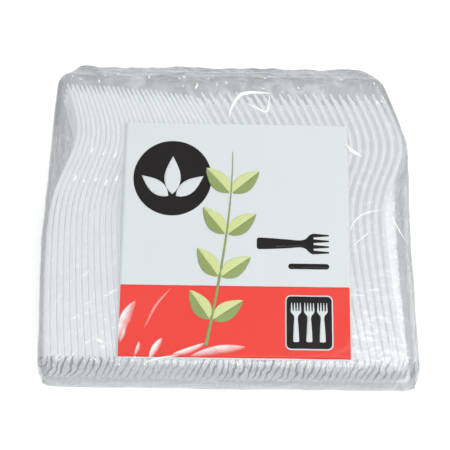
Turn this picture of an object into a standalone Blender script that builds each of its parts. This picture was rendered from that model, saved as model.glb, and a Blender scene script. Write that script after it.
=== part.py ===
"""Catering pack of one hundred white plastic forks, nested in two rows in a clear film bag.

The pack lies on its back. +X runs across the nested forks, +Y from the handles to the tines
and +Z up through the printed front. The origin is on the table, under the middle of the bag.
Every size is in metres.
"""

import math
import random

import bmesh
import bpy
from mathutils import Euler, Matrix, Vector

MM = 0.001

# One fork in its own frame: +Y along it from the handle's end, +Z across it, +X through it.
FORK_LENGTH = 160.0 * MM
HANDLE_WIDTH = 14.0 * MM
HANDLE_END_WIDTH = 8.4 * MM  # what is left of the width after the corners of the end
HANDLE_CORNER = 5.0 * MM  # how far along the corners of the end reach
HANDLE_CREST_AT = 68.0 * MM
HANDLE_CREST_WIDTH = 10.8 * MM
HANDLE_ARCH = 3.2 * MM  # how far the handle's end drops below its crest
NECK_AT = 95.0 * MM
NECK_WIDTH = 8.4 * MM
SHOULDER_AT = 108.5 * MM
SHOULDER_WIDTH = 12.0 * MM
CHEEK_AT = 116.0 * MM
CHEEK_WIDTH = 20.0 * MM
TINE_ROOT_AT = 125.0 * MM
HEAD_WIDTH = 25.2 * MM
BOWL_AT = 129.0 * MM  # the lowest point of the head, seen from the side
BOWL_DEPTH = 13.2 * MM
TIP_LIFT = 8.9 * MM  # how far the tips rise again from the bowl
TINES = 4
SLOT_WIDTH = 2.3 * MM
TIP_WIDTH = 1.7 * MM
TIP_SPAN = 22.4 * MM  # across the tips of all the tines
RIM_HEIGHT = 3.1 * MM  # thickness over the rims at the handle's end
TINE_THICKNESS = 1.6 * MM
RIM_WALL = 1.3 * MM
CHANNEL_DEPTH = 1.5 * MM  # the hollow between the handle's rims
CHANNEL_DRAFT = 0.25 * MM

# How the forks nest and lean in a row.
FORKS_PER_ROW = 50
NEST_GAP = 0.5 * MM
ROW_GAP = 0.5 * MM
ROLL = math.radians(12.0)  # each fork leans over its own long axis
LEAN_MOST = math.radians(11.5)  # the tines lean to the left, the most between the two batches
LEAN_LAST = math.radians(3.7)
FIRST_BATCH = 28  # the row was laid in two batches, each sagging towards the handles
SAG_FIRST_BATCH = 4.8 * MM
SAG_SECOND_START = 1.6 * MM
SAG_SECOND_BATCH = 4.6 * MM
GROUP_LEAST = 2  # forks slide in small nested groups
GROUP_MOST = 5
GROUP_SLIDE = 0.7 * MM
SLIDE_SEED = 11
LOWER_LEAN_FIRST = math.radians(-1.0)
LOWER_LEAN_LAST = math.radians(3.6)
LOWER_SHIFT = 1.6 * MM  # how far to the right of the upper row it lies
LOWER_SLIDE = 0.8 * MM
RIM_BITE = 0.25 * MM  # how far the lower forks' pressed handle ends run into each other

# The clear film bag, drawn a little thicker than the real film so that it holds as a solid.
FILM = 0.3 * MM
FILM_GAP = 0.4 * MM
SIDE_MARGIN = 1.4 * MM
SIDE_BULGE = 1.2 * MM
SLACK = 2.8 * MM  # how much wider the right side hangs at the near end
NEAR_MARGIN = 1.8 * MM
NEAR_ROUNDING = 6.4 * MM
NEAR_DROP = 3.0 * MM  # how far the top has come down at the near end
NEAR_RISE = 8.0 * MM  # and how far the bottom has come up
NEAR_DRAW_IN = 3.0 * MM
FAR_MARGIN = 25.0 * MM
FAR_HEIGHT = 16.0 * MM  # of the gathered far end
FAR_MIDDLE = 26.0 * MM  # how high above the table its middle lies
FAR_DRAW_IN = 8.0 * MM
CORNER_RADIUS = 4.0 * MM
CORNER_STEPS = 2
PLEATS = 3
PLEAT_DEPTH = 1.6 * MM
VENT_RADIUS = 0.9 * MM
VENT_SPACING = 14.0 * MM
VENT_FROM_FAR = 20.0 * MM  # from the tines' end to the middle of the vents
VENTS = 2
VENT_SIDES = 5
VENT_DEPTH = 3.0 * MM

# The print on the film's front, in layers. It is placed from the panel's near left corner.
INK = 0.2 * MM
INK_GAP = 0.3 * MM
PANEL_WIDTH = 124.0 * MM
PANEL_LENGTH = 131.5 * MM
PANEL_OFFSET = 4.0 * MM  # the panel's middle is right of the bag's middle
PANEL_FROM_END = 8.5 * MM
BAND_MARGIN = 0.8 * MM  # the white edge left round the red band
BAND_LENGTH = 38.5 * MM
BADGE_WIDTH = 24.0 * MM
BADGE_LENGTH = 28.0 * MM
BADGE_FROM_RIGHT = 10.5 * MM
BADGE_FROM_END = 6.0 * MM
BADGE_CORNER = 2.4 * MM
BADGE_CORNER_STEPS = 2
DISC_RADIUS = 21.5 * MM
DISC_SIDES = 16
DISC_FROM_LEFT = 27.0 * MM
DISC_FROM_FAR_END = 32.0 * MM
MARK_LENGTH = 39.0 * MM
MARK_WIDTH = 11.5 * MM
MARK_FROM_RIGHT = 11.5 * MM
MARK_FROM_END = 63.0 * MM
SPRIG_FROM_LEFT = 47.0 * MM
SPRIG_FROM_END = 7.0 * MM
SPRIG_LENGTH = 108.0 * MM
SPRIG_SWAY = 13.0 * MM  # how far the stem curves to the right on its way up
STEM_WIDTH = 1.8 * MM
LEAF_PAIRS = 4
LEAF_LENGTH = 19.0 * MM
LEAF_WIDTH = 10.0 * MM
LEAF_STEPS = 3
LEAF_SPLAY = math.radians(46.0)


def material(name, colour, roughness, alpha=1.0):
    """A Principled material of one plain colour."""
    made = bpy.data.materials.new(name)
    made.use_nodes = True
    shader = made.node_tree.nodes["Principled BSDF"]
    shader.inputs["Base Color"].default_value = (*colour, 1.0)
    shader.inputs["Roughness"].default_value = roughness
    shader.inputs["Metallic"].default_value = 0.0
    shader.inputs["Alpha"].default_value = alpha
    return made


def add_object(name, mesh, finish, parent=None):
    """Links a named object for a mesh and gives it its material."""
    made = bpy.data.objects.new(name, mesh)
    if not mesh.materials:
        mesh.materials.append(finish)
    made.parent = parent
    bpy.context.scene.collection.objects.link(made)
    return made


def mesh_from(bm, name, smooth_angle=math.radians(30.0)):
    """Turns a bmesh into a mesh with outward normals."""
    bmesh.ops.recalc_face_normals(bm, faces=bm.faces[:])
    mesh = bpy.data.meshes.new(name)
    bm.to_mesh(mesh)
    bm.free()
    mesh.shade_smooth()
    mesh.set_sharp_from_angle(angle=smooth_angle)
    return mesh


def between(low, high, share):
    """The value at a share of the way from low to high."""
    return low + (high - low) * share


# The fork


def fork_offset(along):
    """The fork's side profile: arched handle, deep bowl and tips that rise again."""
    if along < HANDLE_CREST_AT:
        return HANDLE_ARCH * ((HANDLE_CREST_AT - along) / HANDLE_CREST_AT) ** 2
    if along < BOWL_AT:
        share = ((along - HANDLE_CREST_AT) / (BOWL_AT - HANDLE_CREST_AT)) ** 1.9
        return BOWL_DEPTH * share * share * (3 - 2 * share)
    share = (along - BOWL_AT) / (FORK_LENGTH - BOWL_AT)
    return BOWL_DEPTH - TIP_LIFT * share**1.5


def fork_slope(along):
    """The angle of the side profile at a point, positive where it runs towards +X."""
    step = FORK_LENGTH / 400
    low = max(along - step, 0.0)
    high = min(along + step, FORK_LENGTH)
    return math.atan2(fork_offset(high) - fork_offset(low), high - low)


def fork_thickness(along):
    """The thickness over the rims, which tapers from the handle's end to the tips."""
    return between(RIM_HEIGHT, TINE_THICKNESS, along / FORK_LENGTH)


def body_stations(plain=False):
    """(position, half width) from the handle's end to the head, just short of the tines.

    A plain fork has a square handle's end and a straight shoulder.
    """
    stations = [
        (0.0, (HANDLE_WIDTH if plain else HANDLE_END_WIDTH) / 2),
        (HANDLE_CREST_AT, HANDLE_CREST_WIDTH / 2),
        (NECK_AT, NECK_WIDTH / 2),
        (CHEEK_AT, CHEEK_WIDTH / 2),
    ]
    if not plain:
        stations += [(HANDLE_CORNER, HANDLE_WIDTH / 2), (SHOULDER_AT, SHOULDER_WIDTH / 2)]
    return sorted(stations)


def tine_stations():
    """(position, span over all the tines, width of one tine) along the tines."""
    root_width = (HEAD_WIDTH - (TINES - 1) * SLOT_WIDTH) / TINES
    return (
        (TINE_ROOT_AT, HEAD_WIDTH, root_width),
        (FORK_LENGTH, TIP_SPAN, TIP_WIDTH),
    )


def fork_ring(bm, along, low, high, thickness):
    """Four vertices round a stretch of the fork's section, from low to high across it."""
    slope = fork_slope(along)
    half = Vector((math.cos(slope), -math.sin(slope), 0.0)) * thickness(along) / 2
    corners = []
    for across, side in ((low, -half), (low, half), (high, half), (high, -half)):
        corners.append(bm.verts.new(Vector((fork_offset(along), along, across)) + side))
    return corners


def bridge_rings(bm, first, second):
    """The four faces between two rings of four vertices."""
    for k in range(4):
        after = (k + 1) % 4
        bm.faces.new((first[k], first[after], second[after], second[k]))


def tine_edges(number):
    """(position, low edge, high edge) of one tine at its root and at its tip."""
    found = []
    for along, span, width in tine_stations():
        middle = between(-(span - width) / 2, (span - width) / 2, number / (TINES - 1))
        found.append((along, middle - width / 2, middle + width / 2))
    return found


def add_tine(bm, number, thickness, plain):
    """One tine, with a blunt tip or, where it is plain, a sharp one. Returns its root's ring."""
    at_root, at_tip = tine_edges(number)
    root = fork_ring(bm, *at_root, thickness)
    if plain:
        along, low, high = at_tip
        low_tip, high_tip = [bm.verts.new((fork_offset(along), along, z)) for z in (low, high)]
        bm.faces.new((root[0], root[1], low_tip))
        bm.faces.new((root[2], root[3], high_tip))
        bm.faces.new((root[1], root[2], high_tip, low_tip))
        bm.faces.new((root[3], root[0], low_tip, high_tip))
        return root
    tip = fork_ring(bm, *at_tip, thickness)
    bridge_rings(bm, root, tip)
    bm.faces.new(tip)
    return root


def add_head_end(bm, last, roots):
    """Joins the body's last ring to the roots of all the tines."""
    back = [v for root in roots for v in (root[0], root[3])]
    front = [v for root in roots for v in (root[1], root[2])]
    bm.faces.new([last[0], last[3], *reversed(back)])
    bm.faces.new([last[1], last[2], *reversed(front)])
    bm.faces.new((last[0], last[1], roots[0][1], roots[0][0]))
    bm.faces.new((last[3], last[2], roots[-1][2], roots[-1][3]))
    for root, following in zip(roots, roots[1:]):
        bm.faces.new((root[3], root[2], following[1], following[0]))


def sink_channel(bm, faces):
    """The long hollow between the rims on the front face of the handle."""
    bmesh.ops.recalc_face_normals(bm, faces=bm.faces[:])
    bmesh.ops.inset_region(bm, faces=faces, thickness=RIM_WALL, use_even_offset=True)
    bmesh.ops.inset_region(
        bm, faces=faces, thickness=CHANNEL_DRAFT, depth=-CHANNEL_DEPTH, use_even_offset=True
    )


def fork_mesh(name, thickness, plain=False):
    """One fork: arched handle, neck, bowl and tapered tines, and unless plain a channel."""
    bm = bmesh.new()
    rings = []
    for along, half in body_stations(plain):
        rings.append(fork_ring(bm, along, -half, half, thickness))
    bm.faces.new(rings[0])
    for first, second in zip(rings, rings[1:]):
        bridge_rings(bm, first, second)
    roots = [add_tine(bm, number, thickness, plain) for number in range(TINES)]
    add_head_end(bm, rings[-1], roots)
    if not plain:
        handle = {v for ring in rings[1:4] for v in ring[1:3]}
        sink_channel(bm, [face for face in bm.faces if handle.issuperset(face.verts)])
    return mesh_from(bm, name)


def fork_outline():
    """The corners of the fork's plan, (along, across), all the way round."""
    near_side = [(along, -half) for along, half in body_stations()]
    comb = []
    for number in range(TINES):
        (root, low, high), (tip, tip_low, tip_high) = tine_edges(number)
        comb += [(root, low), (tip, tip_low), (tip, tip_high), (root, high)]
    return near_side + comb + [(along, -across) for along, across in reversed(near_side)]


# The rows


def lean_of(number):
    """How far a fork's tines lean to the left."""
    if number <= FIRST_BATCH:
        return LEAN_MOST * number / FIRST_BATCH
    share = (number - FIRST_BATCH) / (FORKS_PER_ROW - 1 - FIRST_BATCH)
    return between(LEAN_MOST, LEAN_LAST, share)


def sag_of(number):
    """How far a fork has sagged towards its handle within its batch."""
    if number < FIRST_BATCH:
        return SAG_FIRST_BATCH * number / FIRST_BATCH
    share = (number - FIRST_BATCH) / (FORKS_PER_ROW - FIRST_BATCH)
    return between(SAG_SECOND_START, SAG_SECOND_BATCH, math.sqrt(share))


def slides():
    """How far along the row's forks lie: the sag of each batch, and small groups' slides."""
    chance = random.Random(SLIDE_SEED)
    found = []
    while len(found) < FORKS_PER_ROW:
        shift = chance.uniform(-GROUP_SLIDE, GROUP_SLIDE)
        for _ in range(chance.randint(GROUP_LEAST, GROUP_MOST)):
            found.append(-sag_of(len(found)) - shift)
    return found[:FORKS_PER_ROW]


def pitch_for(lean, turn, slid):
    """The spacing that keeps the nest gap all along two neighbours.

    turn is how much further the second leans than the first, and slid how much further
    towards the tines it lies.
    """
    needed = 0.0
    steps = 60
    for step in range(steps + 1):
        along = FORK_LENGTH * step / steps
        slope = fork_slope(along)
        apart = math.cos(lean) * math.cos(slope) * math.cos(ROLL)
        apart += math.sin(lean) * math.sin(slope)
        closing = along * math.cos(slope) * math.cos(ROLL)
        closing += fork_offset(along) * math.sin(slope)
        spacing = (fork_thickness(along) + NEST_GAP + turn * closing) / apart
        needed = max(needed, spacing + slid * math.tan(slope - lean))
    return needed


def row_places():
    """(x, y, lean) of the handle's end of each fork, in its row's own frame."""
    shifts = slides()
    places = [(0.0, shifts[0], lean_of(0))]
    for number in range(1, FORKS_PER_ROW):
        across, along, before = places[-1]
        lean = lean_of(number)
        across += pitch_for(lean, lean - before, shifts[number] - along)
        places.append((across, shifts[number], lean))
    return places


def place_matrix(place):
    """The matrix that carries the fork to its place in the row."""
    across, along, lean = place
    turned = Euler((0.0, ROLL, lean)).to_matrix().to_4x4()
    return Matrix.Translation((across, along, 0.0)) @ turned


def lower_places(upper_places):
    """The lower row's places: evenly fanned forks over the same width as the upper row."""
    pitch = (upper_places[-1][0] - upper_places[0][0]) / (FORKS_PER_ROW - 1)
    found = []
    for number in range(FORKS_PER_ROW):
        lean = between(LOWER_LEAN_FIRST, LOWER_LEAN_LAST, number / (FORKS_PER_ROW - 1))
        found.append((LOWER_SHIFT + number * pitch, LOWER_SLIDE, lean))
    return found


def pressed_thickness(pitch):
    """The thickness of a lower fork, whose handle's end is pressed onto its neighbour."""
    slope = fork_slope(0.0)
    reach = math.cos(LOWER_LEAN_LAST) * math.cos(slope) * math.cos(ROLL)
    reach += math.sin(LOWER_LEAN_LAST) * math.sin(slope)
    pressed = pitch * reach + RIM_BITE

    def thickness(along):
        if along > HANDLE_CREST_AT:
            return fork_thickness(along)
        return between(pressed, fork_thickness(HANDLE_CREST_AT), along / HANDLE_CREST_AT)

    return thickness


def upper_hull(points):
    """The upper edge of the points' outline, from left to right."""
    hull = []
    for point in sorted(points):
        while len(hull) > 1:
            (x0, y0), (x1, y1) = hull[-2:]
            if (x1 - x0) * (point[1] - y0) < (y1 - y0) * (point[0] - x0):
                break
            hull.pop()
        hull.append(point)
    return hull


def resting_line(points, share=0.5):
    """(height at zero, slope) of a line laid on the points, at a share of their extent."""
    hull = upper_hull(points)
    where = between(hull[0][0], hull[-1][0], share)
    for (x0, y0), (x1, y1) in zip(hull, hull[1:]):
        if where <= x1:
            break
    slope = (y1 - y0) / (x1 - x0)
    return y0 - slope * x0, slope


def laid_row(mesh, places):
    """Every corner of each fork of a row, in the row's own frame."""
    rows = []
    for place in places:
        matrix = place_matrix(place)
        rows.append([matrix @ v.co for v in mesh.vertices])
    return rows


def row_matrices(lower_forks, upper_forks):
    """Where the rows lie: the lower one on the film, the upper one on the lower."""
    under = [(p.y, -p.z) for fork in lower_forks for p in fork]
    base, rise = resting_line(under)
    lower = Matrix.Translation((0, 0, base + FILM + FILM_GAP))
    lower = lower @ Matrix.Rotation(math.atan(rise), 4, "X")
    top = [lower @ p for fork in lower_forks for p in fork]
    level, slope = resting_line([(p.y, p.z) for p in top])
    base, rise = resting_line([(p.y, -p.z) for fork in upper_forks for p in fork])
    upper = Matrix.Translation((0, 0, level + base + ROW_GAP))
    upper = upper @ Matrix.Rotation(math.atan(slope) + math.atan(rise), 4, "X")
    lowest = min((upper @ p).z - level - slope * (upper @ p).y for f in upper_forks for p in f)
    return lower, Matrix.Translation((0, 0, ROW_GAP - lowest)) @ upper


def add_upper_row(mesh, places, matrix, finish):
    """The upper row: each fork is its own object on the row's frame."""
    frame = bpy.data.objects.new("upper_row", None)
    frame.matrix_world = matrix
    bpy.context.scene.collection.objects.link(frame)
    for number, place in enumerate(places, start=1):
        fork = add_object(f"upper_fork_{number:02d}", mesh, finish, frame)
        fork.matrix_local = place_matrix(place)


def add_lower_row(mesh, places, matrix, finish):
    """The lower row, whose forks are joined where their handles' ends press together."""
    helpers = bpy.data.collections.new("lower_row_forks")
    bpy.context.scene.collection.children.link(helpers)
    row = add_object("lower_fork_row", mesh, finish)
    row.matrix_world = matrix @ place_matrix(places[0])
    for place in places[1:]:
        fork = bpy.data.objects.new("lower_row_fork", mesh)
        fork.matrix_world = matrix @ place_matrix(place)
        fork.hide_render = True
        fork.display_type = "WIRE"
        helpers.objects.link(fork)
    join = row.modifiers.new("pressed_together", "BOOLEAN")
    join.operation = "UNION"
    join.operand_type = "COLLECTION"
    join.collection = helpers


# The bag


class Film:
    """The film's outer faces, pulled taut round the two rows of forks."""

    def __init__(self, points):
        skin = FILM + FILM_GAP
        self.near = min(p.y for p in points)
        self.far = max(p.y for p in points)
        self.tops = [resting_line([(p.y, p.z + skin) for p in points], s) for s in (0.5, 0.85)]
        rightward = [(p.y, p.x + SIDE_MARGIN) for p in points]
        leftward = [(p.y, SIDE_MARGIN - p.x) for p in points]
        self.rights = [resting_line(rightward, share) for share in (0.5, 0.9)]
        self.lefts = [resting_line(leftward, share) for share in (0.2, 0.9)]
        self.ridge = crossing(*self.tops)
        self.belly = crossing(*self.rights)
        self.hip = crossing(*self.lefts)

    def top(self, y):
        """The height of the film's outer top face."""
        return min(level + slope * y for level, slope in self.tops)

    def right(self, y):
        """The place of the film's right side, which hangs a little loose at the near end."""
        slack = SLACK * max(0.0, self.hip - y) / (self.hip - self.near)
        return min(level + slope * y for level, slope in self.rights) + slack

    def left(self, y):
        """The place of the film's left side."""
        return -min(level + slope * y for level, slope in self.lefts)

    def middle(self):
        """The middle of the bag across and along the table."""
        sections = self.stations()
        least = min(left for _, left, *_ in sections)
        most = max(right for _, _, right, *_ in sections)
        return (least + most) / 2, (sections[0][0] + sections[-1][0]) / 2

    def stations(self):
        """(y, left, right, low, high, pleat depth) of each section, from near to far."""
        near = self.near - NEAR_MARGIN
        found = [
            (
                near,
                self.left(near) + NEAR_DRAW_IN,
                self.right(near) - NEAR_DRAW_IN,
                NEAR_RISE,
                self.top(near) - NEAR_DROP,
                0.0,
            )
        ]
        bends = (near + NEAR_ROUNDING, self.hip, self.ridge, self.belly, self.far)
        for y in sorted(bends):
            found.append((y, self.left(y), self.right(y), 0.0, self.top(y), 0.0))
        found.append(
            (
                self.far + FAR_MARGIN,
                self.left(self.far) + FAR_DRAW_IN,
                self.right(self.far) - FAR_DRAW_IN,
                FAR_MIDDLE - FAR_HEIGHT / 2,
                FAR_MIDDLE + FAR_HEIGHT / 2,
                PLEAT_DEPTH,
            )
        )
        return found


def crossing(first, second):
    """Where two lines, each (height at zero, slope), meet."""
    return (second[0] - first[0]) / (first[1] - second[1])


def corner_arc(centre_x, centre_z, start):
    """The points of one rounded corner of a section, anticlockwise from the start angle."""
    points = []
    for step in range(CORNER_STEPS + 1):
        angle = start + math.pi / 2 * step / CORNER_STEPS
        points.append(
            (centre_x + CORNER_RADIUS * math.cos(angle), centre_z + CORNER_RADIUS * math.sin(angle))
        )
    return points


def pleated_edge(start, end, depth):
    """The points between two corners, which zigzag by the depth of the pleats."""
    points = []
    steps = 2 * PLEATS
    for step in range(1, steps):
        sink = depth if step % 2 else 0.0
        points.append((between(start[0], end[0], step / steps), start[1] + sink))
    return points


def bag_section(left, right, low, high, pleat):
    """The (x, z) points of the bag's section, anticlockwise from its lower right corner."""
    r = CORNER_RADIUS
    lower_right = corner_arc(right - r, low + r, -math.pi / 2)
    upper_right = corner_arc(right - r, high - r, 0.0)
    upper_left = corner_arc(left + r, high - r, math.pi / 2)
    lower_left = corner_arc(left + r, low + r, math.pi)
    middle = (low + high) / 2
    points = lower_right + [(right + SIDE_BULGE, middle)] + upper_right
    points += pleated_edge(upper_right[-1], upper_left[0], -pleat) + upper_left
    points += [(left - SIDE_BULGE, middle)] + lower_left
    return points + pleated_edge(lower_left[-1], lower_right[0], pleat)


def bag_mesh(film):
    """The bag's outer skin, lofted along the pack and closed at both ends."""
    bm = bmesh.new()
    rings = []
    for y, *section in film.stations():
        rings.append([bm.verts.new((x, y, z)) for x, z in bag_section(*section)])
    for first, second in zip(rings, rings[1:]):
        for k in range(len(first)):
            after = (k + 1) % len(first)
            bm.faces.new((first[k], first[after], second[after], second[k]))
    bm.faces.new(rings[0])
    bm.faces.new(rings[-1])
    return mesh_from(bm, "clear_bag")


def add_vent(bag, film, number):
    """A small round vent through the left side of the bag, by the forks' heads."""
    bm = bmesh.new()
    bmesh.ops.create_cone(
        bm, cap_ends=True, segments=VENT_SIDES, radius1=VENT_RADIUS, radius2=VENT_RADIUS,
        depth=2 * VENT_DEPTH,
    )
    cutter = add_object(f"vent_cutter_{number + 1}", mesh_from(bm, "vent"), bag.active_material)
    cutter.rotation_euler = (0.0, math.pi / 2, 0.0)
    y = film.far - VENT_FROM_FAR + VENT_SPACING * (number - (VENTS - 1) / 2)
    cutter.location = (film.left(y) - SIDE_BULGE, y, film.top(y) / 2)
    cutter.hide_render = True
    cutter.display_type = "WIRE"
    cut = bag.modifiers.new(f"vent_{number + 1}", "BOOLEAN")
    cut.operation = "DIFFERENCE"
    cut.object = cutter


def add_bag(film, finish):
    """The film bag: a closed skin of even thickness with its vents."""
    bag = add_object("clear_bag", bag_mesh(film), finish)
    skin = bag.modifiers.new("film", "SOLIDIFY")
    skin.thickness = FILM
    skin.offset = -1.0
    skin.use_even_offset = True
    for number in range(VENTS):
        add_vent(bag, film, number)


# The print


def rounded_rectangle(x, y, width, length, radius, steps):
    """The points of a rectangle with round corners, anticlockwise."""
    points = []
    corners = (
        (x + width - radius, y + radius, -math.pi / 2),
        (x + width - radius, y + length - radius, 0.0),
        (x + radius, y + length - radius, math.pi / 2),
        (x + radius, y + radius, math.pi),
    )
    for centre_x, centre_y, start in corners:
        for step in range(steps + 1):
            angle = start + math.pi / 2 * step / steps
            points.append((centre_x + radius * math.cos(angle), centre_y + radius * math.sin(angle)))
    return points


def rectangle(x, y, width, length):
    """The corners of a rectangle, anticlockwise."""
    return [(x, y), (x + width, y), (x + width, y + length), (x, y + length)]


def disc_outline():
    """The dark disc in the panel's far left corner."""
    points = []
    for step in range(DISC_SIDES):
        angle = 2 * math.pi * step / DISC_SIDES
        x = DISC_FROM_LEFT + DISC_RADIUS * math.cos(angle)
        y = PANEL_LENGTH - DISC_FROM_FAR_END + DISC_RADIUS * math.sin(angle)
        points.append((x, y))
    return points


def mark_outline():
    """A fork lying across the panel's right side, drawn from the real one's plan."""
    x = PANEL_WIDTH - MARK_FROM_RIGHT - MARK_LENGTH
    points = []
    for along, across in fork_outline():
        points.append(
            (x + along * MARK_LENGTH / FORK_LENGTH, MARK_FROM_END + across * MARK_WIDTH / HEAD_WIDTH)
        )
    return points


def stem_point(share):
    """The sprig's stem, which curves to the right on its way up the panel."""
    x = SPRIG_FROM_LEFT + SPRIG_SWAY * math.sin(share * math.pi / 2)
    return Vector((x, SPRIG_FROM_END + SPRIG_LENGTH * share))


def leaf_outline(share, side):
    """One leaf's points from the stem out to its tip and back, low edge first."""
    nearby = 0.001
    stem = (stem_point(share + nearby) - stem_point(share - nearby)).normalized()
    turn = Matrix.Rotation(-side * LEAF_SPLAY, 2)
    out = turn @ stem
    across = Vector((out.y, -out.x)) * side
    root = stem_point(share) + Vector((stem.y, -stem.x)) * side * STEM_WIDTH / 2
    low_edge = []
    high_edge = []
    for step in range(LEAF_STEPS):
        reach = step / LEAF_STEPS
        half = between(STEM_WIDTH / 3, LEAF_WIDTH / 2, math.sin(math.pi * reach**0.8))
        low_edge.append(root + out * LEAF_LENGTH * reach + across * half)
        high_edge.append(root + out * LEAF_LENGTH * reach - across * half)
    return low_edge + [root + out * LEAF_LENGTH] + high_edge[::-1]


def sprig_outline():
    """A leafy sprig: one outline round the stem and all of its leaves."""
    shares = [(pair + 0.6) / (LEAF_PAIRS + 0.6) for pair in range(LEAF_PAIRS)]
    half = Vector((STEM_WIDTH / 2, 0.0))
    right = [p for share in shares for p in leaf_outline(share, 1)]
    left = [p for share in shares for p in leaf_outline(share, -1)]
    points = [stem_point(0.0) + half] + right + [stem_point(1.0)] + left[::-1]
    return [tuple(p) for p in points + [stem_point(0.0) - half]]


def add_print(name, outline, layer, film, finish):
    """A flat field of ink in the outline's shape, bent over the film's ridge."""
    left = PANEL_OFFSET - PANEL_WIDTH / 2
    near = film.near - NEAR_MARGIN + PANEL_FROM_END
    bm = bmesh.new()
    bm.faces.new([bm.verts.new((left + x, near + y, 0.0)) for x, y in outline])
    bm.normal_update()
    bmesh.ops.triangulate(bm, faces=bm.faces[:])
    everything = bm.verts[:] + bm.edges[:] + bm.faces[:]
    bmesh.ops.bisect_plane(
        bm, geom=everything, dist=INK / 100, plane_co=(0, film.ridge, 0), plane_no=(0, 1, 0)
    )
    grown = bmesh.ops.extrude_face_region(bm, geom=bm.faces[:])
    raised = {v for v in grown["geom"] if isinstance(v, bmesh.types.BMVert)}
    for v in bm.verts:
        v.co.z = film.top(v.co.y) + INK_GAP + layer * (INK + INK_GAP)
        if v in raised:
            v.co.z += INK
    return add_object(name, mesh_from(bm, name), finish)


def add_all_print(film):
    """The printed fields: panel, band, badge, disc, fork mark and sprig."""
    white = material("print_white", (0.85, 0.86, 0.87), 0.35)
    red = material("print_red", (0.80, 0.045, 0.03), 0.35)
    dark = material("print_dark", (0.018, 0.014, 0.014), 0.35)
    green = material("print_green", (0.22, 0.36, 0.09), 0.35)
    add_print("print_panel", rectangle(0, 0, PANEL_WIDTH, PANEL_LENGTH), 0, film, white)
    band = rectangle(BAND_MARGIN, BAND_MARGIN, PANEL_WIDTH - 2 * BAND_MARGIN, BAND_LENGTH)
    add_print("print_band", band, 1, film, red)
    badge = rounded_rectangle(
        PANEL_WIDTH - BADGE_FROM_RIGHT - BADGE_WIDTH, BADGE_FROM_END,
        BADGE_WIDTH, BADGE_LENGTH, BADGE_CORNER, BADGE_CORNER_STEPS,
    )
    add_print("print_badge", badge, 2, film, dark)
    add_print("print_disc", disc_outline(), 1, film, dark)
    add_print("print_fork_mark", mark_outline(), 1, film, dark)
    add_print("print_sprig", sprig_outline(), 2, film, green)


def main():
    for leftover in list(bpy.data.objects):
        bpy.data.objects.remove(leftover)
    fork_white = material("fork_white", (0.86, 0.88, 0.89), 0.32)
    clear_film = material("clear_film", (0.82, 0.84, 0.85), 0.12, 0.35)
    fork = fork_mesh("fork", fork_thickness)
    upper_places = row_places()
    under_places = lower_places(upper_places)
    pressed = pressed_thickness(under_places[1][0])
    lower_fork = fork_mesh("lower_fork", pressed, plain=True)
    lower_forks = laid_row(lower_fork, under_places)
    upper_forks = laid_row(fork, upper_places)
    lower, upper = row_matrices(lower_forks, upper_forks)
    corners = [lower @ p for fork in lower_forks for p in fork]
    corners += [upper @ p for fork in upper_forks for p in fork]
    across, along = Film(corners).middle()
    to_origin = Matrix.Translation((-across, -along, 0.0))
    film = Film([to_origin @ p for p in corners])
    add_upper_row(fork, upper_places, to_origin @ upper, fork_white)
    add_lower_row(lower_fork, under_places, to_origin @ lower, fork_white)
    add_bag(film, clear_film)
    add_all_print(film)


main()
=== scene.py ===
"""The look of the fork pack: fine forks, crinkled clear film and the printed front.

Every size is in metres, in the part's own frame: the pack lies on its back, +X runs across
the nested forks, +Y from the handles to the tines and +Z up through the print.
"""

import math
import random

import bmesh
import bpy
from mathutils import Euler, Matrix, Vector, noise
from mathutils.bvhtree import BVHTree


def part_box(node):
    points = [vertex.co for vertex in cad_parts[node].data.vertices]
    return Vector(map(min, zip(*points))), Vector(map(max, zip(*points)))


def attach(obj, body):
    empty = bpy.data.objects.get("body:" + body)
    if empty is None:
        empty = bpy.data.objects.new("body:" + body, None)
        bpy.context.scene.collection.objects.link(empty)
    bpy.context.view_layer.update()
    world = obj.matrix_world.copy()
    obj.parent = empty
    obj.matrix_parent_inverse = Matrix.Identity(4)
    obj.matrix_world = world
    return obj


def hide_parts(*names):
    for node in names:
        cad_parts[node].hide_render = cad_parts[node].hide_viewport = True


MM = 0.001

# One fork, as in the part: +Y along it, +Z across it and +X through it.
FORK_LENGTH = 160.0 * MM
HANDLE_WIDTH = 14.0 * MM
HANDLE_END_WIDTH = 8.4 * MM
HANDLE_CORNER = 5.0 * MM
HANDLE_CREST_AT = 68.0 * MM
HANDLE_CREST_WIDTH = 10.8 * MM
HANDLE_ARCH = 3.2 * MM
NECK_AT = 95.0 * MM
NECK_WIDTH = 8.4 * MM
SHOULDER_AT = 108.5 * MM
SHOULDER_WIDTH = 12.0 * MM
CHEEK_AT = 116.0 * MM
CHEEK_WIDTH = 20.0 * MM
TINE_ROOT_AT = 125.0 * MM
HEAD_WIDTH = 25.2 * MM
BOWL_AT = 129.0 * MM
BOWL_DEPTH = 13.2 * MM
TIP_LIFT = 8.9 * MM
TINES = 4
SLOT_WIDTH = 2.3 * MM
TIP_WIDTH = 1.7 * MM
TIP_SPAN = 22.4 * MM
RIM_HEIGHT = 3.1 * MM
TINE_THICKNESS = 1.6 * MM
RIM_WALL = 1.3 * MM
CHANNEL_DEPTH = 1.5 * MM
HANDLE_EDGE = 0.28 * MM
HEAD_EDGE = 0.75 * MM
HEAD_RIM = 0.4 * MM
EASING = 11.0 * MM
BODY_STATIONS = (  # in millimetres, from the handle's end to the tines' roots
    0, 0.5, 1.6, 3.2, 5, 9, 20, 34, 48, 60, 68, 76,
    84, 90, 95, 99, 103, 106, 109, 112, 115, 118, 121, 125,
)
TINE_STEPS = 7
PAINTED_GLOW = 0.26  # strength of the painted glow that lightens the forks and the gaps between them
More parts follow.
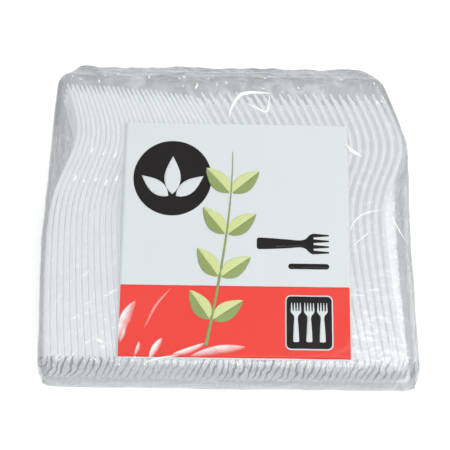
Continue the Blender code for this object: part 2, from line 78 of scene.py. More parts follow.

# How the forks nest in their rows, as in the part.
FORKS_PER_ROW = 50
NEST_GAP = 0.5 * MM
ROLL = math.radians(12.0)
LEAN_MOST = math.radians(11.5)
LEAN_LAST = math.radians(3.7)
FIRST_BATCH = 28
SAG_FIRST_BATCH = 4.8 * MM
SAG_SECOND_START = 1.6 * MM
SAG_SECOND_BATCH = 4.6 * MM
NEST_STEPS = 60
GROUP_LEAST = 2
GROUP_MOST = 5
GROUP_SLIDE = 0.7 * MM
SLIDE_SEED = 11
LOWER_LEAN_FIRST = math.radians(-1.0)
LOWER_LEAN_LAST = math.radians(3.6)
LOWER_SHIFT = 1.6 * MM
LOWER_SLIDE = 0.8 * MM
ROWS_LEFT = -98.467 * MM  # the first fork's handle end
ROWS_NEAR = -89.497 * MM
UPPER_ROW_HEIGHT = 23.712 * MM
UPPER_ROW_TILT = math.radians(8.257)
LOWER_ROW_HEIGHT = 8.726 * MM
LOWER_ROW_TILT = math.radians(3.254)

# The film's mesh, and how the bag's outside is looked for.
FILM_ROW_SPACING = 1.15 * MM
FILM_ACROSS = 200
FILM_ROUND_SIDE = 44
FILM_UNDERSIDE = 50
CAP_RINGS = 4
CAP_BULGE = 1.2 * MM
END_INSET = 0.05 * MM
WELD_REACH = 0.02 * MM
CORE_HEIGHT = 20.0 * MM
BELOW_VENTS = 0.38
LOOK_REACH = 300.0 * MM
LOOK_DOWN_FROM = 200.0 * MM
HOLE_REACH = 3
HOLE_DEPTH = 1.5 * MM
SIDE_FOOT = 16.0 * MM
TABLE_GAP = 0.05 * MM
SMOOTHING_ROUNDS = 7
DRAPE_ROUNDS = 2
DRAPE_REACH = 5.0 * MM
DRAPE_GAP = 0.3 * MM

# Where the film wrinkles, where it is gathered and where painted shade darkens its sides, from little
# to most.
WRINKLES_FAR = (58.0 * MM, 82.0 * MM)
WRINKLES_NEAR = (-84.0 * MM, -95.0 * MM)
WRINKLES_SIDE = (88.0 * MM, 99.0 * MM)
GATHERED_FAR = (58.0 * MM, 84.0 * MM)
SIDE_SHADE_ALONG = (15.0 * MM, 58.0 * MM)
GATHERED_NEAR = (-86.0 * MM, -91.0 * MM)

# Painted shade between the handles' ends, as they show through the near end.
ENDS_ALONG = (-86.8 * MM, -88.8 * MM)
ENDS_UP = (23.5 * MM, 27.5 * MM)
END_SPACING = 3.6 * MM
END_SLANT = 0.75

# The print, placed from the panel's near left corner.
PANEL_LEFT = -58.0 * MM
PANEL_NEAR = -88.228 * MM
PANEL_WIDTH = 124.0 * MM
PANEL_LENGTH = 131.5 * MM
BAND_MARGIN = 0.8 * MM
BAND_LENGTH = 38.5 * MM
BADGE_WIDTH = 24.0 * MM
BADGE_LENGTH = 28.0 * MM
BADGE_FROM_RIGHT = 10.5 * MM
BADGE_FROM_END = 6.0 * MM
BADGE_CORNER = 2.4 * MM
BADGE_BORDER = 0.7 * MM
BADGE_MARK_LENGTH = 21.0 * MM
BADGE_MARK_WIDTH = 5.6 * MM
BADGE_MARK_SPACING = 7.0 * MM
SPROUT_LENGTH = 22.0 * MM
SPROUT_WIDTH = 9.0 * MM
SPROUT_SPREAD = math.radians(52.0)
BAR_WIDTH = 22.0 * MM
BAR_LENGTH = 3.0 * MM
BAR_FROM_END = 49.0 * MM
DISC_RADIUS = 21.5 * MM
DISC_SIDES = 64
DISC_FROM_LEFT = 27.0 * MM
DISC_FROM_FAR_END = 32.0 * MM
MARK_LENGTH = 39.0 * MM
MARK_WIDTH = 11.5 * MM
MARK_FROM_RIGHT = 11.5 * MM
MARK_FROM_END = 63.0 * MM
SPRIG_FROM_LEFT = 47.0 * MM
SPRIG_FROM_END = 7.0 * MM
SPRIG_LENGTH = 108.0 * MM
SPRIG_SWAY = 13.0 * MM
STEM_WIDTH = 1.8 * MM
STEM_STEPS = 24
LEAF_PAIRS = 4
LEAF_LENGTH = 19.0 * MM
LEAF_WIDTH = 10.0 * MM
LEAF_STEPS = 12
LEAF_SPLAY = math.radians(46.0)
INK_CELL = 2.0 * MM
INK_THICKNESS = 0.08 * MM
LAYER_STEP = 0.12 * MM

VENT_PLACES = (44.7 * MM, 58.7 * MM)
VENT_RADIUS = 0.9 * MM
VENT_SIDES = 12
VENT_THICKNESS = 0.1 * MM
VENT_STAND_OFF = 0.05 * MM

# Where the film is creased and carries painted highlights, in millimetres: (highlight strength, width,
# corners of the line).
CREASE_STEP = 2.0
CREASE_HEIGHT = 0.12 * MM
CREASE_THICKNESS = 0.05 * MM
CREASE_PROFILE = ((-1.0, 0.0), (-0.4, 0.3), (0.2, 0.65), (0.7, 1.0), (1.0, 0.0))  # crisp on one side
CREASE_HIGHLIGHTS = (
    (2.2, 2.4, ((-0.4, 45.4), (1.2, 53.3), (5.6, 60.7), (12.4, 62.7), (24.0, 62.2))),
    (1.6, 1.6, ((9.1, 56.5), (14.7, 53.5), (20.9, 51.2), (22.5, 61.6))),
    (1.2, 2.8, ((63.8, 32.6), (67.4, 28.6), (73.5, 25.0))),
    (1.0, 1.2, ((64.9, -22.6), (67.2, -14.7), (72.8, -8.4), (80.5, -6.0), (87.1, -5.3))),
    (1.1, 1.0, ((86.6, -5.3), (89.6, -11.0), (93.2, -17.7), (96.8, -23.8))),
    (0.9, 1.1, ((65.3, -27.0), (71.4, -22.5), (78.6, -16.2))),
    (1.2, 1.6, ((-45.0, -91.0), (-40.1, -89.6), (-32.3, -87.9), (-24.5, -86.6))),
    (1.1, 2.4, ((-69.0, -78.2), (-67.3, -79.4), (-64.5, -80.6))),
    (0.8, 6.5, ((-56.6, -79.0), (-55.0, -71.0), (-52.5, -64.0), (-48.5, -58.0))),
    (0.6, 2.4, ((-56.5, -80.5), (-54.5, -76.0), (-53.5, -71.0))),
    (0.55, 2.6, ((-48.5, -87.5), (-46.5, -83.0), (-46.0, -79.0))),
    (1.1, 4.0, ((-40.5, -89.0), (-38.0, -83.5), (-34.0, -77.5))),
    (0.9, 3.4, ((-29.0, -86.5), (-20.0, -84.0), (-11.0, -80.0))),
    (0.7, 5.0, ((-19.0, -87.0), (-5.0, -83.5), (10.0, -82.0))),
    (0.3, 1.8, ((-30.0, -50.5), (-38.0, -60.0), (-44.0, -73.0))),
)
# Painted highlights on the forks' necks, seen through the film, in millimetres.
NECK_GLINTS = (
    (-84.5, 10.0), (-79.5, 8.6), (-73.0, 9.6), (-67.5, 8.0),
    (-61.5, 10.5), (-76.0, 26.5), (-69.5, 24.5), (-63.0, 24.0),
)
FLECK_SEED = 5
FAR_FLECKS = 34
NEAR_FLECKS = 22
LIFT_EASING = 1.5 * MM

TABLE_REACH = 4.0  # metres to each side

# The camera, matched to the photo.
CAMERA_TARGET = Vector((-1.8, -5.0, 25.0)) * MM
CAMERA_ELEVATION = math.radians(62.0)
CAMERA_DISTANCE = 680.0 * MM
CAMERA_ROLL = math.radians(0.8)
CAMERA_LENS = 96.96


def between(low, high, share):
    """The value at a share of the way from low to high."""
    return low + (high - low) * share


def smooth_step(low, high, value):
    """0 below low, 1 above high and smooth between them. low may be the larger."""
    share = min(max((value - low) / (high - low), 0.0), 1.0)
    return share * share * (3 - 2 * share)


def curve_between(low, high, rise, next_rise, length, reach):
    """A smooth curve between two heights with a given slope at each end."""
    t = reach / length
    start = (1 + 2 * t) * (1 - t) ** 2 * low + t * (1 - t) ** 2 * length * rise
    return start + t * t * (3 - 2 * t) * high - t * t * (1 - t) * length * next_rise


def link(name, mesh, finish):
    """Links a piece into the scene, with the finish as its material unless its mesh already has one."""
    piece = bpy.data.objects.new(name, mesh)
    if not mesh.materials:
        mesh.materials.append(finish)
    bpy.context.scene.collection.objects.link(piece)
    return piece


def mesh_of(name, vertices, faces, smooth_angle=math.radians(40.0)):
    """A smooth-shaded mesh with outward normals."""
    mesh = bpy.data.meshes.new(name)
    mesh.from_pydata(vertices, [], faces)
    bm = bmesh.new()
    bm.from_mesh(mesh)
    bmesh.ops.recalc_face_normals(bm, faces=bm.faces[:])
    bm.to_mesh(mesh)
    bm.free()
    mesh.shade_smooth()
    mesh.set_sharp_from_angle(angle=smooth_angle)
    return mesh


# Materials


def new_material(name):
    """An empty node material and its output."""
    made = bpy.data.materials.new(name)
    made.use_nodes = True
    made.node_tree.nodes.clear()
    output = made.node_tree.nodes.new("ShaderNodeOutputMaterial")
    return made, made.node_tree, output


def noise_in(tree, scale, detail, distortion=0.0):
    """Noise in object coordinates. scale is in waves per metre."""
    place = tree.nodes.new("ShaderNodeTexCoord")
    texture = tree.nodes.new("ShaderNodeTexNoise")
    texture.inputs["Scale"].default_value = scale
    texture.inputs["Detail"].default_value = detail
    texture.inputs["Distortion"].default_value = distortion
    tree.links.new(place.outputs["Object"], texture.inputs["Vector"])
    return texture.outputs["Fac"]


def bumped(tree, height, distance, strength):
    """The normal that a height output gives."""
    bump = tree.nodes.new("ShaderNodeBump")
    bump.inputs["Distance"].default_value = distance
    bump.inputs["Strength"].default_value = strength
    tree.links.new(height, bump.inputs["Height"])
    return bump.outputs["Normal"]


def feed(tree, value, socket):
    """Gives a socket a number of its own or links an output to it."""
    if isinstance(value, float):
        socket.default_value = value
    else:
        tree.links.new(value, socket)


def math_node(tree, operation, first, second=0.0):
    """The result of a sum on one or two outputs or numbers."""
    node = tree.nodes.new("ShaderNodeMath")
    node.operation = operation
    feed(tree, first, node.inputs[0])
    feed(tree, second, node.inputs[1])
    return node.outputs["Value"]


def plus(tree, first, second):
    """The sum of two outputs or numbers."""
    return math_node(tree, "ADD", first, second)


def times(tree, first, second):
    """The product of two outputs or numbers."""
    return math_node(tree, "MULTIPLY", first, second)


def largest(tree, first, *others):
    """The largest of several outputs."""
    for other in others:
        first = math_node(tree, "MAXIMUM", first, other)
    return first


def mapped(tree, value, start, end, low=0.0, kind="LINEAR"):
    """low where the value is at start and 1 where it is at end, and held there beyond them."""
    node = tree.nodes.new("ShaderNodeMapRange")
    node.interpolation_type = kind
    node.inputs["From Min"].default_value = start
    node.inputs["From Max"].default_value = end
    node.inputs["To Min"].default_value = low
    tree.links.new(value, node.inputs["Value"])
    return node.outputs["Result"]


def coordinate(tree, axis, source="Object"):
    """A surface point's place along an axis, or its normal's part along it."""
    place = tree.nodes.new("ShaderNodeTexCoord")
    split = tree.nodes.new("ShaderNodeSeparateXYZ")
    tree.links.new(place.outputs[source], split.inputs["Vector"])
    return split.outputs[axis]


def mixed_colour(tree, factor, low, high):
    """A colour that runs from low to high as the factor output runs from 0 to 1."""
    mix = tree.nodes.new("ShaderNodeMix")
    mix.data_type = "RGBA"
    mix.inputs["A"].default_value = (*low, 1.0)
    mix.inputs["B"].default_value = (*high, 1.0)
    tree.links.new(factor, mix.inputs["Factor"])
    return mix.outputs["Result"]


def mottled(name, values, low, high, waves, detail):
    """A Principled material with some inputs set, mottled between two colours."""
    made, tree, output = new_material(name)
    shader = tree.nodes.new("ShaderNodeBsdfPrincipled")
    for socket, value in values.items():
        shader.inputs[socket].default_value = value
    colour = mixed_colour(tree, noise_in(tree, waves, detail), low, high)
    tree.links.new(colour, shader.inputs["Base Color"])
    tree.links.new(shader.outputs["BSDF"], output.inputs["Surface"])
    return made, tree, shader


def plastic(name, low, high, roughness, glow=0.0):
    """Moulded plastic that lets some light in below its surface, with a faint painted glow."""
    values = {
        "Roughness": roughness,
        "IOR": 1.5,
        "Specular IOR Level": 0.1,
        "Subsurface Weight": 0.7,
        "Subsurface Radius": (1.0, 1.0, 1.0),
        "Subsurface Scale": 4.0 * MM,
        # painted glow: emission that lightens the plastic and the gaps between forks
        "Emission Color": (0.95, 0.975, 1.0, 1.0),
        "Emission Strength": glow,
    }
    made, tree, shader = mottled(name, values, low, high, 45.0, 3.0)
    grain = bumped(tree, noise_in(tree, 900.0, 2.0), 0.02 * MM, 0.5)
    tree.links.new(grain, shader.inputs["Normal"])
    return made


def ink(name, low, high):
    """Ink under glossy film: even colour below a clear, slightly crinkled coat."""
    values = {
        "Roughness": 0.5,
        "Specular IOR Level": 0.1,
        "Coat Weight": 0.22,
        "Coat Roughness": 0.12,
        "Coat IOR": 1.5,
    }
    made, tree, shader = mottled(name, values, low, high, 30.0, 2.0)
    crinkle = bumped(tree, noise_in(tree, 120.0, 3.0, 0.6), 0.5 * MM, 0.35)
    tree.links.new(crinkle, shader.inputs["Coat Normal"])
    return made


def matt(tree, colour):
    """A matt surface of one colour."""
    node = tree.nodes.new("ShaderNodeBsdfDiffuse")
    node.inputs["Color"].default_value = (*colour, 1.0)
    return node.outputs["BSDF"]


def see_through(tree):
    """A surface that lets everything through."""
    return tree.nodes.new("ShaderNodeBsdfTransparent").outputs["BSDF"]


def mixed_shader(tree, factor, first, second):
    """Two shaders mixed by a factor, which is an output or a number."""
    mix = tree.nodes.new("ShaderNodeMixShader")
    feed(tree, factor, mix.inputs["Fac"])
    tree.links.new(first, mix.inputs[1])
    tree.links.new(second, mix.inputs[2])
    return mix.outputs["Shader"]


def haze(tree, shade, translucency):
    """A matt surface that also lets some light through."""
    outside = tree.nodes.new("ShaderNodeBsdfDiffuse")
    inside = tree.nodes.new("ShaderNodeBsdfTranslucent")
    tree.links.new(shade, outside.inputs["Color"])
    tree.links.new(shade, inside.inputs["Color"])
    return mixed_shader(tree, translucency, outside.outputs["BSDF"], inside.outputs["BSDF"])


def painted_end_shade(tree):
    """Slanted strokes of painted shade, one to a fork, for the gaps between the handles' ends where
    they show through the near end.
    """
    height = coordinate(tree, "Z")
    wobble = times(tree, noise_in(tree, 110.0, 2.0), 7.0 * MM)
    across = math_node(tree, "SUBTRACT", coordinate(tree, "X"), times(tree, height, END_SLANT))
    turns = times(tree, plus(tree, across, wobble), 2 * math.pi / END_SPACING)
    shade_strokes = mapped(tree, math_node(tree, "SINE", turns), 0.2, 0.9)
    shade_strokes = times(tree, shade_strokes, mapped(tree, height, *ENDS_UP))
    shade_strokes = times(tree, shade_strokes, mapped(tree, noise_in(tree, 40.0, 1.0), 0.35, 0.6, low=0.4))
    along = mapped(tree, coordinate(tree, "Y"), *ENDS_ALONG, kind="SMOOTHSTEP")
    return times(tree, shade_strokes, along)


def clear_film():
    """Thin clear film: a light veil, mottled and darker where it is gathered, with painted shade on its
    sideways walls, along its edge-on outline and between the handles' ends, and with glints.
    """
    made, tree, output = new_material("clear_film_fine")
    along = coordinate(tree, "Y")
    far = mapped(tree, along, *GATHERED_FAR, kind="SMOOTHSTEP")
    near = mapped(tree, along, *GATHERED_NEAR, kind="SMOOTHSTEP")
    # side and outline: painted shade on the walls that face sideways and where the film is seen edge-on
    upright = math_node(tree, "ABSOLUTE", coordinate(tree, "X", "Normal"))
    side = mapped(tree, upright, 0.1, 0.8)
    far_side_shade = times(tree, side, mapped(tree, along, *SIDE_SHADE_ALONG, kind="SMOOTHSTEP"))
    facing = tree.nodes.new("ShaderNodeLayerWeight").outputs["Facing"]
    outline = mapped(tree, facing, 0.9, 1.0)
    mottle = mapped(tree, noise_in(tree, 85.0, 3.0, 1.6), 0.38, 0.62)
    uneven = plus(tree, times(tree, mottle, 0.6), 0.55)
    gathered_and_shaded = largest(tree, times(tree, far, uneven), times(tree, near, 0.3), times(tree, side, 0.26))
    gathered_and_shaded = largest(tree, gathered_and_shaded, far_side_shade, outline)
    clear = tree.nodes.new("ShaderNodeBsdfTransparent")
    # tint and haze colour darken where the film is gathered, and with painted shade on its sides and
    # outline
    tint = mixed_colour(tree, gathered_and_shaded, (0.95, 0.955, 0.96), (0.56, 0.575, 0.585))
    tree.links.new(tint, clear.inputs["Color"])
    shade = mixed_colour(tree, gathered_and_shaded, (0.74, 0.76, 0.77), (0.29, 0.30, 0.31))
    veil = plus(tree, times(tree, mottle, 0.04), 0.18)
    veil = plus(tree, veil, times(tree, near, -0.1))
    thicker = largest(tree, times(tree, far, 0.27), times(tree, side, 0.22), times(tree, outline, 0.5))
    amount = plus(tree, veil, thicker)
    body = mixed_shader(tree, amount, clear.outputs["BSDF"], haze(tree, shade, 0.45))
    # dark matt colour of the painted shade strokes at the near end
    shade_strokes = times(tree, painted_end_shade(tree), 0.75)
    body = mixed_shader(tree, shade_strokes, body, matt(tree, (0.15, 0.16, 0.17)))
    gloss = tree.nodes.new("ShaderNodeBsdfGlossy")
    gloss.inputs["Roughness"].default_value = 0.09
    gloss.inputs["Color"].default_value = (1.0, 1.0, 1.0, 1.0)
    fresnel = tree.nodes.new("ShaderNodeFresnel")
    fresnel.inputs["IOR"].default_value = 1.5
    crinkle = bumped(tree, noise_in(tree, 170.0, 4.0, 1.2), 0.9 * MM, 0.6)
    tree.links.new(crinkle, gloss.inputs["Normal"])
    tree.links.new(crinkle, fresnel.inputs["Normal"])
    shine = plus(tree, times(tree, largest(tree, far, outline), -0.6), 1.2)
    shine = times(tree, shine, fresnel.outputs["Fac"])
    surface = mixed_shader(tree, shine, body, gloss.outputs["BSDF"])
    shadow = tree.nodes.new("ShaderNodeLightPath").outputs["Is Shadow Ray"]
    surface = mixed_shader(tree, shadow, surface, see_through(tree))
    tree.links.new(surface, output.inputs["Surface"])
    return made


# The fork


def fork_offset(along):
    """The fork's side profile: arched handle, deep bowl and tips that rise again."""
    if along < HANDLE_CREST_AT:
        return HANDLE_ARCH * ((HANDLE_CREST_AT - along) / HANDLE_CREST_AT) ** 2
    if along < BOWL_AT:
        share = ((along - HANDLE_CREST_AT) / (BOWL_AT - HANDLE_CREST_AT)) ** 1.9
        return BOWL_DEPTH * share * share * (3 - 2 * share)
    share = (along - BOWL_AT) / (FORK_LENGTH - BOWL_AT)
    return BOWL_DEPTH - TIP_LIFT * share**1.5


def fork_slope(along):
    """The angle of the side profile at a point, positive where it runs towards +X."""
    step = FORK_LENGTH / 400
    low = max(along - step, 0.0)
    high = min(along + step, FORK_LENGTH)
    return math.atan2(fork_offset(high) - fork_offset(low), high - low)


def fork_thickness(along):
    """The thickness over the rims, which tapers from the handle's end to the tips."""
    return between(RIM_HEIGHT, TINE_THICKNESS, along / FORK_LENGTH)


def drawn_thickness(along):
    """The same with the rolled rim that runs round the head."""
    return fork_thickness(along) + HEAD_RIM * smooth_step(HANDLE_CREST_AT, SHOULDER_AT, along)


def half_width(along):
    """Half the body's width, smooth from the rounded handle's end to the head."""
    if along < HANDLE_CORNER:
        reach = (HANDLE_CORNER - along) / HANDLE_CORNER
        corner = (HANDLE_WIDTH - HANDLE_END_WIDTH) / 2
        return HANDLE_END_WIDTH / 2 + corner * math.sqrt(max(1 - reach * reach, 0.0))
    keys = (
        (HANDLE_CORNER, HANDLE_WIDTH / 2, 0.0),
        (HANDLE_CREST_AT, HANDLE_CREST_WIDTH / 2, -0.03),
        (NECK_AT, NECK_WIDTH / 2, 0.0),
        (SHOULDER_AT, SHOULDER_WIDTH / 2, 0.3),
        (CHEEK_AT, CHEEK_WIDTH / 2, 0.45),
        (TINE_ROOT_AT, HEAD_WIDTH / 2, 0.0),
    )
    for (start, low, rise), (end, high, next_rise) in zip(keys, keys[1:]):
        if along <= end:
            return curve_between(low, high, rise, next_rise, end - start, along - start)
    return HEAD_WIDTH / 2


def channel_depth(along):
    """How deep the hollow between the rims is: full along the handle, gone at the head."""
    start = smooth_step(3.0 * MM, 8.0 * MM, along)
    end = 1.0 - smooth_step(NECK_AT, CHEEK_AT, along)
    return CHANNEL_DEPTH * start * end


def edge_radius(along):
    """How round the edges are: crisp on the handle, rounder on the head."""
    return between(HANDLE_EDGE, HEAD_EDGE, smooth_step(HANDLE_CREST_AT, SHOULDER_AT, along))


def rounded_section(low, high, thick, channel, edge):
    """(through, across) points round a stretch of the section, with round edges."""
    front = thick / 2
    radius = min(edge, thick * 0.45, (high - low) * 0.3)
    wall = min(RIM_WALL, (high - low) * 0.25)
    points = []

    def corner(through, across, start):
        for step in range(3):
            angle = start + math.pi / 4 * step
            points.append((through + radius * math.cos(angle), across + radius * math.sin(angle)))

    corner(-front + radius, low + radius, math.pi)
    corner(front - radius, low + radius, 1.5 * math.pi)
    if channel is not None:
        points.append((front, low + wall))
        points.append((front - channel, low + wall + 0.25 * MM))
        points.append((front - channel, high - wall - 0.25 * MM))
        points.append((front, high - wall))
    corner(front - radius, high - radius, 0.0)
    corner(-front + radius, high - radius, 0.5 * math.pi)
    return points


def add_tube(vertices, faces, rings):
    """Joins rings of points into a closed tube."""
    start = len(vertices)
    count = len(rings[0])
    for ring in rings:
        vertices.extend(ring)
    for row in range(len(rings) - 1):
        for k in range(count):
            a = start + row * count + k
            b = start + row * count + (k + 1) % count
            faces.append((a, b, b + count, a + count))
    faces.append(tuple(range(start, start + count)))
    last = start + (len(rings) - 1) * count
    faces.append(tuple(range(last, last + count)))


def drawn_offset(along):
    """The side profile with its bends eased over a few millimetres."""
    reach = EASING * smooth_step(0.0, HANDLE_CREST_AT, along)
    reach *= 1.0 - smooth_step(FORK_LENGTH - EASING, FORK_LENGTH, along)
    return sum(fork_offset(along + reach * k / 4) for k in range(-4, 5)) / 9


def ring_at(along, section):
    """A section's points in space, square to the fork's side profile."""
    slope = fork_slope(along)
    out = Vector((math.cos(slope), -math.sin(slope), 0.0))
    centre = Vector((drawn_offset(along), along, 0.0))
    return [centre + out * through + Vector((0.0, 0.0, across)) for through, across in section]


def fork_shape():
    """The vertices and faces of one finely made fork."""
    vertices = []
    faces = []
    rings = []
    for station in BODY_STATIONS:
        along = station * MM
        half = half_width(along)
        thick = drawn_thickness(along)
        section = rounded_section(-half, half, thick, channel_depth(along), edge_radius(along))
        rings.append(ring_at(along, section))
    add_tube(vertices, faces, rings)
    root_width = (HEAD_WIDTH - (TINES - 1) * SLOT_WIDTH) / TINES
    for number in range(TINES):
        rings = []
        for step in range(TINE_STEPS + 1):
            share = step / TINE_STEPS
            along = between(TINE_ROOT_AT - 0.6 * MM, FORK_LENGTH, share)
            span = between(HEAD_WIDTH, TIP_SPAN, share)
            width = between(root_width, TIP_WIDTH, share)
            thick = drawn_thickness(along) * (1.0 - 0.5 * smooth_step(0.8, 1.0, share))
            if step == TINE_STEPS:
                width *= 0.6
            middle = between(-(span - width) / 2, (span - width) / 2, number / (TINES - 1))
            low = middle - width / 2
            section = rounded_section(low, low + width, thick, None, HEAD_EDGE)
            rings.append(ring_at(along, section))
        add_tube(vertices, faces, rings)
    return vertices, faces


# The rows


def lean_of(number):
    """How far a fork's tines lean to the left."""
    if number <= FIRST_BATCH:
        return LEAN_MOST * number / FIRST_BATCH
    share = (number - FIRST_BATCH) / (FORKS_PER_ROW - 1 - FIRST_BATCH)
    return between(LEAN_MOST, LEAN_LAST, share)


def sag_of(number):
    """How far a fork has sagged towards its handle within its batch."""
    if number < FIRST_BATCH:
        return SAG_FIRST_BATCH * number / FIRST_BATCH
    share = (number - FIRST_BATCH) / (FORKS_PER_ROW - FIRST_BATCH)
    return between(SAG_SECOND_START, SAG_SECOND_BATCH, math.sqrt(share))


def slides():
    """How far along the row's forks lie: the sag of each batch, and small groups' slides."""
    chance = random.Random(SLIDE_SEED)
    found = []
    while len(found) < FORKS_PER_ROW:
        shift = chance.uniform(-GROUP_SLIDE, GROUP_SLIDE)
        for _ in range(chance.randint(GROUP_LEAST, GROUP_MOST)):
            found.append(-sag_of(len(found)) - shift)
    return found[:FORKS_PER_ROW]


def pitch_for(lean, turn, slid):
    """The spacing that keeps the nest gap all along two neighbours."""
    needed = 0.0
    for step in range(NEST_STEPS + 1):
        along = FORK_LENGTH * step / NEST_STEPS
        slope = fork_slope(along)
        apart = math.cos(lean) * math.cos(slope) * math.cos(ROLL)
        apart += math.sin(lean) * math.sin(slope)
        closing = along * math.cos(slope) * math.cos(ROLL)
        closing += fork_offset(along) * math.sin(slope)
        spacing = (fork_thickness(along) + NEST_GAP + turn * closing) / apart
        needed = max(needed, spacing + slid * math.tan(slope - lean))
    return needed


def upper_places():
    """(x, y, lean) of the handle's end of each upper fork, in its row's own frame."""
    shifts = slides()
    places = [(0.0, shifts[0], lean_of(0))]
    for number in range(1, FORKS_PER_ROW):
        across, along, before = places[-1]
        lean = lean_of(number)
        across += pitch_for(lean, lean - before, shifts[number] - along)
        places.append((across, shifts[number], lean))
    return places


def lower_places(pitch):
    """The same for the lower row's evenly fanned forks."""
    found = []
    for number in range(FORKS_PER_ROW):
        lean = between(LOWER_LEAN_FIRST, LOWER_LEAN_LAST, number / (FORKS_PER_ROW - 1))
        found.append((LOWER_SHIFT + number * pitch, LOWER_SLIDE, lean))
    return found


def fork_matrices(places, height, tilt):
    """Where the forks of a row lie in the pack."""
    whole_row = Matrix.Translation((ROWS_LEFT, ROWS_NEAR, height)) @ Matrix.Rotation(tilt, 4, "X")
    found = []
    for across, along, lean in places:
        turned = Euler((0.0, ROLL, lean)).to_matrix().to_4x4()
        found.append(whole_row @ (Matrix.Translation((across, along, 0.0)) @ turned))
    return found


def all_of(matrices, vertices, faces):
    """One shape copied to several places, as one list of vertices and one of faces."""
    row_vertices = []
    row_faces = []
    for matrix in matrices:
        start = len(row_vertices)
        row_vertices += [matrix @ v for v in vertices]
        row_faces += [tuple(start + k for k in face) for face in faces]
    return row_vertices, row_faces


def add_forks(finish):
    """Fifty single forks on top and the joined row below. Returns a search tree over them all."""
    vertices, faces = fork_shape()
    mesh = mesh_of("fine_fork", vertices, faces)
    places = upper_places()
    upper = fork_matrices(places, UPPER_ROW_HEIGHT, UPPER_ROW_TILT)
    for number, matrix in enumerate(upper, start=1):
        fork = link(f"fork_{number:02d}", mesh, finish)
        fork.matrix_world = matrix
        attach(fork, "root")
        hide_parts(f"upper_fork_{number:02d}")
    pitch = (places[-1][0] - places[0][0]) / (FORKS_PER_ROW - 1)
    lower = fork_matrices(lower_places(pitch), LOWER_ROW_HEIGHT, LOWER_ROW_TILT)
    mesh = mesh_of("forks_below", *all_of(lower, vertices, faces))
    row = link("forks_below", mesh, finish)
    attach(row, "root")
    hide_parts("lower_fork_row")
    return BVHTree.FromPolygons(*all_of(upper + lower, vertices, faces))


# The film


def search_tree(mesh):
    """A search tree over a mesh's faces."""
    return BVHTree.FromPolygons([v.co for v in mesh.vertices], [p.vertices for p in mesh.polygons])


def skin_point(tree, foot, direction):
    """Where the bag's outer face lies, looked for from outside towards a point within it."""
    hit = tree.ray_cast(foot + direction * LOOK_REACH, -direction, LOOK_REACH)[0]
    return hit if hit is not None else foot


def film_top(tree, x, y):
    """The point of the film's top over a place on the table."""
    return tree.ray_cast(Vector((x, y, LOOK_DOWN_FROM)), Vector((0.0, 0.0, -1.0)))[0]


def film_ring(tree, y):
    """The points of the bag's section at y, from its top right round to the left and back."""
    up = Vector((0.0, 0.0, 1.0))
    core = Vector((0.0, y, CORE_HEIGHT))
    top = skin_point(tree, core, up).z
    bottom = skin_point(tree, core, -up).z
    middle = (top + bottom) / 2
    below_vents = Vector((0.0, y, between(bottom, top, BELOW_VENTS)))
    right = skin_point(tree, below_vents, Vector((1.0, 0.0, 0.0))).x - SIDE_FOOT
    left = skin_point(tree, below_vents, Vector((-1.0, 0.0, 0.0))).x + SIDE_FOOT
    points = []

    def flat(start, end, count, direction):
        for k in range(count):
            foot = Vector((between(start, end, k / count), y, middle))
            points.append(skin_point(tree, foot, direction))

    def round_side(x, start):
        for k in range(FILM_ROUND_SIDE):
            angle = start + math.pi * k / FILM_ROUND_SIDE
            out = Vector((math.cos(angle), 0.0, math.sin(angle)))
            points.append(skin_point(tree, Vector((x, y, middle)), out))

    flat(right, left, FILM_ACROSS, up)
    round_side(left, math.pi / 2)
    flat(left, right, FILM_UNDERSIDE, -up)
    round_side(right, -math.pi / 2)
    return points, middle


def without_holes(rings):
    """The rings with the points that fell into a vent put back on the film."""
    mended = [list(ring) for ring in rings]
    for row in range(HOLE_REACH, len(rings) - HOLE_REACH):
        for k, point in enumerate(rings[row]):
            about = (rings[row - HOLE_REACH][k] + rings[row + HOLE_REACH][k]) / 2
            if (point - about).length > HOLE_DEPTH:
                mended[row][k] = about
    return mended


def cap_rings(ring, middle, outward):
    """Rings that close an end of the bag, shrinking onto its middle line and bulging a little."""
    found = []
    for step in range(1, CAP_RINGS + 1):
        share = step / CAP_RINGS
        bulge = outward * CAP_BULGE * math.sin(share * math.pi / 2)
        shrunk = [Vector((p.x, p.y + bulge, between(p.z, middle, share))) for p in ring]
        found.append(shrunk)
    return found


def ridged(point, scale, seed):
    """Sharp-crested noise from 0 to 1. scale is the wavelength along each axis, in millimetres."""
    waves = Vector([place / (length * MM) for place, length in zip(point, scale)])
    return 1.0 - min(abs(noise.noise(waves + Vector((seed, 0, 0)))) * 2.2, 1.0)


def wrinkle(p):
    """How far the film stands off its taut place at a point."""
    far = smooth_step(*WRINKLES_FAR, p.y)
    near = smooth_step(*WRINKLES_NEAR, p.y)
    side = smooth_step(*WRINKLES_SIDE, abs(p.x))
    height = 0.22 * noise.noise(p / (16 * MM))
    height += 0.10 * noise.noise(p / (5 * MM) + Vector((7, 3, 1)))
    height += far * 0.8 * (ridged(p, (14, 30, 30), 3.1) - 0.5)
    height += far * 0.25 * (ridged(p, (6, 7, 7), 8.7) - 0.5)
    height += near * 0.6 * (ridged(p, (7, 5, 5), 5.3) - 0.6)
    height += side * 0.25 * (ridged(p, (14, 26, 26), 1.9) - 0.5)
    return height * MM


def drape(bm, forks):
    """Lays the film over any fork that it would cut into."""
    bm.normal_update()
    for v in bm.verts:
        start = v.co + v.normal * DRAPE_REACH
        hit = forks.ray_cast(start, -v.normal, DRAPE_REACH + DRAPE_GAP)[0]
        if hit is not None:
            v.co = hit + v.normal * DRAPE_GAP


def smooth(bm):
    """One round of smoothing over the whole film."""
    bmesh.ops.smooth_vert(
        bm, verts=bm.verts[:], factor=0.5, use_axis_x=True, use_axis_y=True, use_axis_z=True
    )


